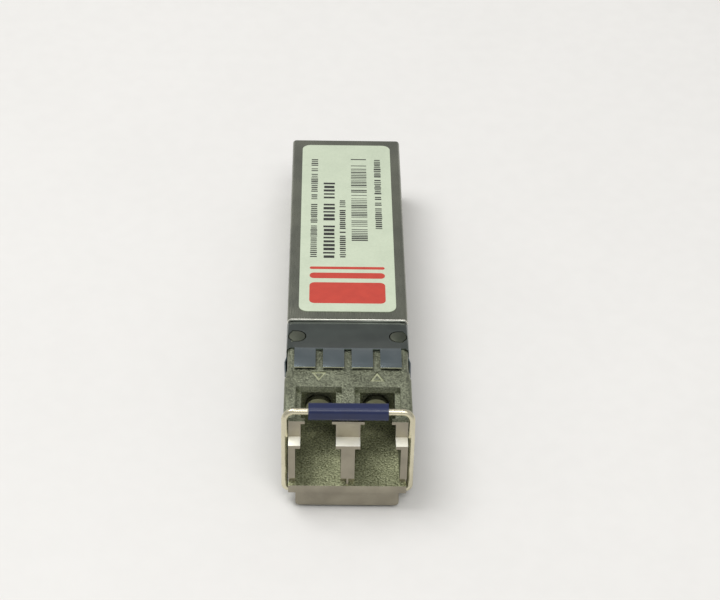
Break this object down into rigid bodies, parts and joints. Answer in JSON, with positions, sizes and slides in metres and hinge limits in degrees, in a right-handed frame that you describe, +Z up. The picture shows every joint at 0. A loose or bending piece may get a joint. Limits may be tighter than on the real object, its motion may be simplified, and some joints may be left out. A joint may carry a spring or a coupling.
{
  "type": "optical transceiver module",
  "caption": "Pluggable optical transceiver module: cast nose with duplex fibre ports, sprung shielding collar, folded cover, card edge, and a wire bail that works a latch slider.",
  "frame": {"origin": "under the middle of the module's box, in the plane of the chin's bottom face", "axes": "+X to the right seen from the front, +Y from the ports to the card edge, +Z up to the label"},
  "size_m": [0.014, 0.0564, 0.0121],
  "materials": {
    "cast_metal": "bead blasted zinc casting, satin",
    "cover_sheet": "fine satin plated sheet",
    "collar_sheet": "smooth bright spring sheet",
    "wire_steel": "polished wire",
    "grip_plastic": "smooth moulded plastic",
    "slider_metal": "satin",
    "spring_steel": "drawn wire",
    "retainer_sheet": "stamped sheet, satin",
    "label_film": "matt printed film",
    "can_metal": "turned, bright",
    "gold_plate": "gold plated",
    "ceramic": "ground white ceramic",
    "lens_glass": "polished",
    "die": "bare semiconductor",
    "flex_film": "amber film",
    "board_laminate": "solder mask",
    "chip_plastic": "moulded, matt",
    "passive_ceramic": "fired ceramic",
    "gasket_rubber": "conductive elastomer",
    "pad_rubber": "soft thermal pad"
  },
  "bodies": {
    "housing": {"base_housing": "cast_metal", "top_cover": "cover_sheet", "emi_collar": "collar_sheet", "label": "label_film", "slider_spring": "spring_steel", "slider_retainer": "retainer_sheet", "transmitter_barrel": "can_metal", "receiver_barrel": "can_metal", "transmitter_sleeve": "ceramic", "receiver_sleeve": "ceramic", "fibre_stub": "ceramic", "transmitter_can": "can_metal", "receiver_can": "can_metal", "transmitter_lens": "lens_glass", "receiver_lens": "lens_glass", "transmitter_header": "gold_plate", "receiver_header": "gold_plate", "laser_chip": "die", "photodiode_chip": "die", "transmitter_flex": "flex_film", "receiver_flex": "flex_film", "barrel_gasket": "gasket_rubber", "optics_clamp": "retainer_sheet", "circuit_board": "board_laminate", "edge_contacts_top": "gold_plate", "edge_contacts_bottom": "gold_plate", "laser_driver": "chip_plastic", "receiver_amplifier": "chip_plastic", "controller_chip": "chip_plastic", "memory_chip": "chip_plastic", "power_inductors": "chip_plastic", "passive_parts": "passive_ceramic", "thermal_pad": "pad_rubber"},
    "bail": {"bail_wire": "wire_steel", "bail_grip": "grip_plastic"},
    "actuator": {"actuator_slider": "slider_metal"}
  },
  "joints": [
    {"name": "bail_hinge", "type": "hinge", "parent": "housing", "child": "bail", "pos_m": [0, -0.02675, 0.00125], "axis": [1, 0, 0], "range_deg": [0, 90]},
    {"name": "actuator_slide", "type": "slide", "parent": "housing", "child": "actuator", "axis": [0, 1, 0], "range_m": [0, 0.0006], "deforming": ["slider_spring"]}
  ],
  "couplings": [
    {"joint": "bail_hinge", "follows": "actuator_slide", "rad_per_m": 2617.9}
  ]
}
